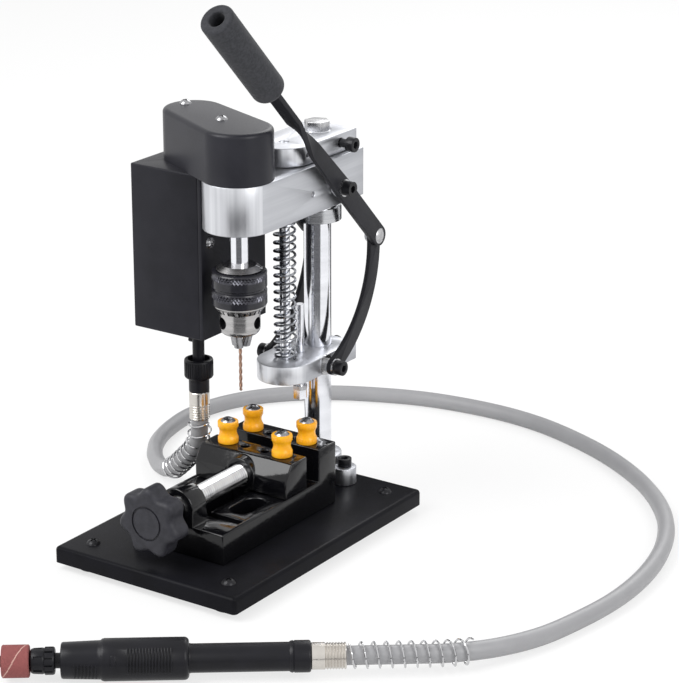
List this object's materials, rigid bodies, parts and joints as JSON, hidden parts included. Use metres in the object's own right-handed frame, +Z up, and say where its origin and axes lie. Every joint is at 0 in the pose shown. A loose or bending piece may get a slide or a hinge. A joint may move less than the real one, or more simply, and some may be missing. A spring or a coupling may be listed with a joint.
{
  "type": "mini drill press",
  "caption": "Small bench drill press with a lever-fed belt-driven head on a round column, a keyed chuck, a pegged drill vice and a flexible shaft with a sanding handpiece",
  "frame": {"origin": "centre of the base plate, on the plane that the rubber feet stand on", "axes": "+X to the operator's right, the lever's side; +Y to the back, where the column stands; +Z up"},
  "size_m": [0.369, 0.471, 0.3212],
  "materials": {
    "powder_black": "satin black powder coat on folded sheet",
    "vice_iron": "gloss black paint on castings",
    "oxide_steel": "black oxide",
    "steel": "bright steel",
    "chrome": "polished or bright plated",
    "bright_aluminium": "machined and polished",
    "bronze": "sintered bush; gold coated drill",
    "rubber": "matt black rubber",
    "foam_grip": "dark grey soft foam sleeve",
    "orange_plastic": "glossy orange moulding",
    "black_plastic": "satin black moulding",
    "hose_grey": "smooth grey sheath",
    "grit_red": "red-brown abrasive sleeve"
  },
  "bodies": {
    "frame": {"base_plate": "powder_black", "rubber_feet": "rubber", "foot_screws": "oxide_steel", "column": "chrome", "column_flange": "bright_aluminium", "frame_screws": "oxide_steel", "lower_arm": "bright_aluminium", "top_plate": "bright_aluminium", "guide_rod": "chrome", "return_spring": "steel", "stop_bolt": "chrome", "stop_nut": "steel", "vice_body": "vice_iron", "fixed_jaw_pegs": "orange_plastic", "fixed_peg_screws": "chrome", "link_spacers": "steel", "flex_hose": "hose_grey", "handpiece_guard": "steel", "handpiece_ferrule": "chrome", "handpiece_rear": "black_plastic", "handpiece_grip": "black_plastic"},
    "head": {"head_arm": "bright_aluminium", "column_bushes": "steel", "rod_bush": "bronze", "spindle_bearings": "steel", "motor_box": "powder_black", "motor_can": "steel", "head_screws": "chrome", "pulley_cover": "powder_black", "drive_belt": "rubber", "outlet_sleeve": "black_plastic", "coupling_nut": "black_plastic", "hose_ferrule": "chrome", "hose_guard": "steel", "power_socket": "black_plastic"},
    "lever": {"lever_bar": "oxide_steel", "lever_grip": "foam_grip", "cross_shaft": "steel", "left_crank": "oxide_steel", "lever_screws": "oxide_steel", "lever_washers": "chrome"},
    "links": {"right_link": "oxide_steel", "left_link": "oxide_steel"},
    "spindle": {"spindle_shaft": "chrome", "spindle_pulley": "bright_aluminium", "chuck_body": "steel", "drill_bit": "bronze"},
    "chuck_ring": {"chuck_sleeve": "oxide_steel"},
    "jaw_1": {"chuck_jaw_1": "steel"},
    "jaw_2": {"chuck_jaw_2": "steel"},
    "jaw_3": {"chuck_jaw_3": "steel"},
    "rotor": {"motor_shaft": "steel", "motor_pulley": "bright_aluminium"},
    "sliding_jaw": {"moving_jaw": "vice_iron", "moving_jaw_pegs": "orange_plastic", "moving_peg_screws": "chrome"},
    "clamp_screw": {"vice_screw": "chrome", "vice_knob": "black_plastic"},
    "drum": {"collet_spindle": "oxide_steel", "sanding_drum": "grit_red"}
  },
  "joints": [
    {"name": "head_slide", "type": "slide", "parent": "frame", "child": "head", "axis": [0, 0, -1], "range_m": [0, 0.028], "stiffness_N_per_m": 600, "springref_m": -0.05, "deforming": ["return_spring", "flex_hose", "hose_guard"]},
    {"name": "lever_pivot", "type": "hinge", "parent": "head", "child": "lever", "pos_m": [0, 0.0645, 0.1988], "axis": [1, 0, 0], "range_deg": [0, 24.7]},
    {"name": "link_pivot", "type": "hinge", "parent": "frame", "child": "links", "pos_m": [0, 0.06, 0.0922], "axis": [1, 0, 0], "range_deg": [-11.6, 0]},
    {"name": "spindle_spin", "type": "hinge", "parent": "head", "child": "spindle", "pos_m": [0, 0, 0.2], "axis": [0, 0, 1], "continuous": true},
    {"name": "motor_spin", "type": "hinge", "parent": "head", "child": "rotor", "pos_m": [-0.046, 0.0214, 0.18], "axis": [0, 0, 1], "continuous": true},
    {"name": "drum_spin", "type": "hinge", "parent": "frame", "child": "drum", "pos_m": [0.0289, -0.1952, 0.011], "axis": [-0.8039, -0.5948, 0], "continuous": true},
    {"name": "chuck_sleeve_turn", "type": "hinge", "parent": "spindle", "child": "chuck_ring", "pos_m": [0, 0, 0.152], "axis": [0, 0, 1], "range_deg": [0, 1700]},
    {"name": "chuck_jaw_1_slide", "type": "slide", "parent": "spindle", "child": "jaw_1", "axis": [0.1664, 0.1983, 0.9659], "range_m": [0, 0.0059]},
    {"name": "chuck_jaw_2_slide", "type": "slide", "parent": "spindle", "child": "jaw_2", "axis": [-0.2549, 0.0449, 0.9659], "range_m": [0, 0.0059]},
    {"name": "chuck_jaw_3_slide", "type": "slide", "parent": "spindle", "child": "jaw_3", "axis": [0.0885, -0.2432, 0.9659], "range_m": [0, 0.0059]},
    {"name": "vice_jaw_slide", "type": "slide", "parent": "frame", "child": "sliding_jaw", "axis": [0, 1, 0], "range_m": [-0.0441, 0.0116]},
    {"name": "vice_screw_turn", "type": "hinge", "parent": "sliding_jaw", "child": "clamp_screw", "pos_m": [0, -0.03, 0.041], "axis": [0, 1, 0], "range_deg": [-9075, 2388]}
  ],
  "couplings": [
    {"joint": "lever_pivot", "follows": "head_slide", "rad_per_m": 15.359},
    {"joint": "link_pivot", "follows": "head_slide", "rad_per_m": -7.156},
    {"joint": "motor_spin", "follows": "spindle_spin", "ratio": 2.5},
    {"joint": "drum_spin", "follows": "spindle_spin", "ratio": 2.5},
    {"joint": "chuck_jaw_2_slide", "follows": "chuck_jaw_1_slide", "ratio": 1},
    {"joint": "chuck_jaw_3_slide", "follows": "chuck_jaw_1_slide", "ratio": 1},
    {"joint": "chuck_sleeve_turn", "follows": "chuck_jaw_1_slide", "rad_per_m": 5025.1},
    {"joint": "vice_screw_turn", "follows": "vice_jaw_slide", "rad_per_m": 3590.7}
  ]
}
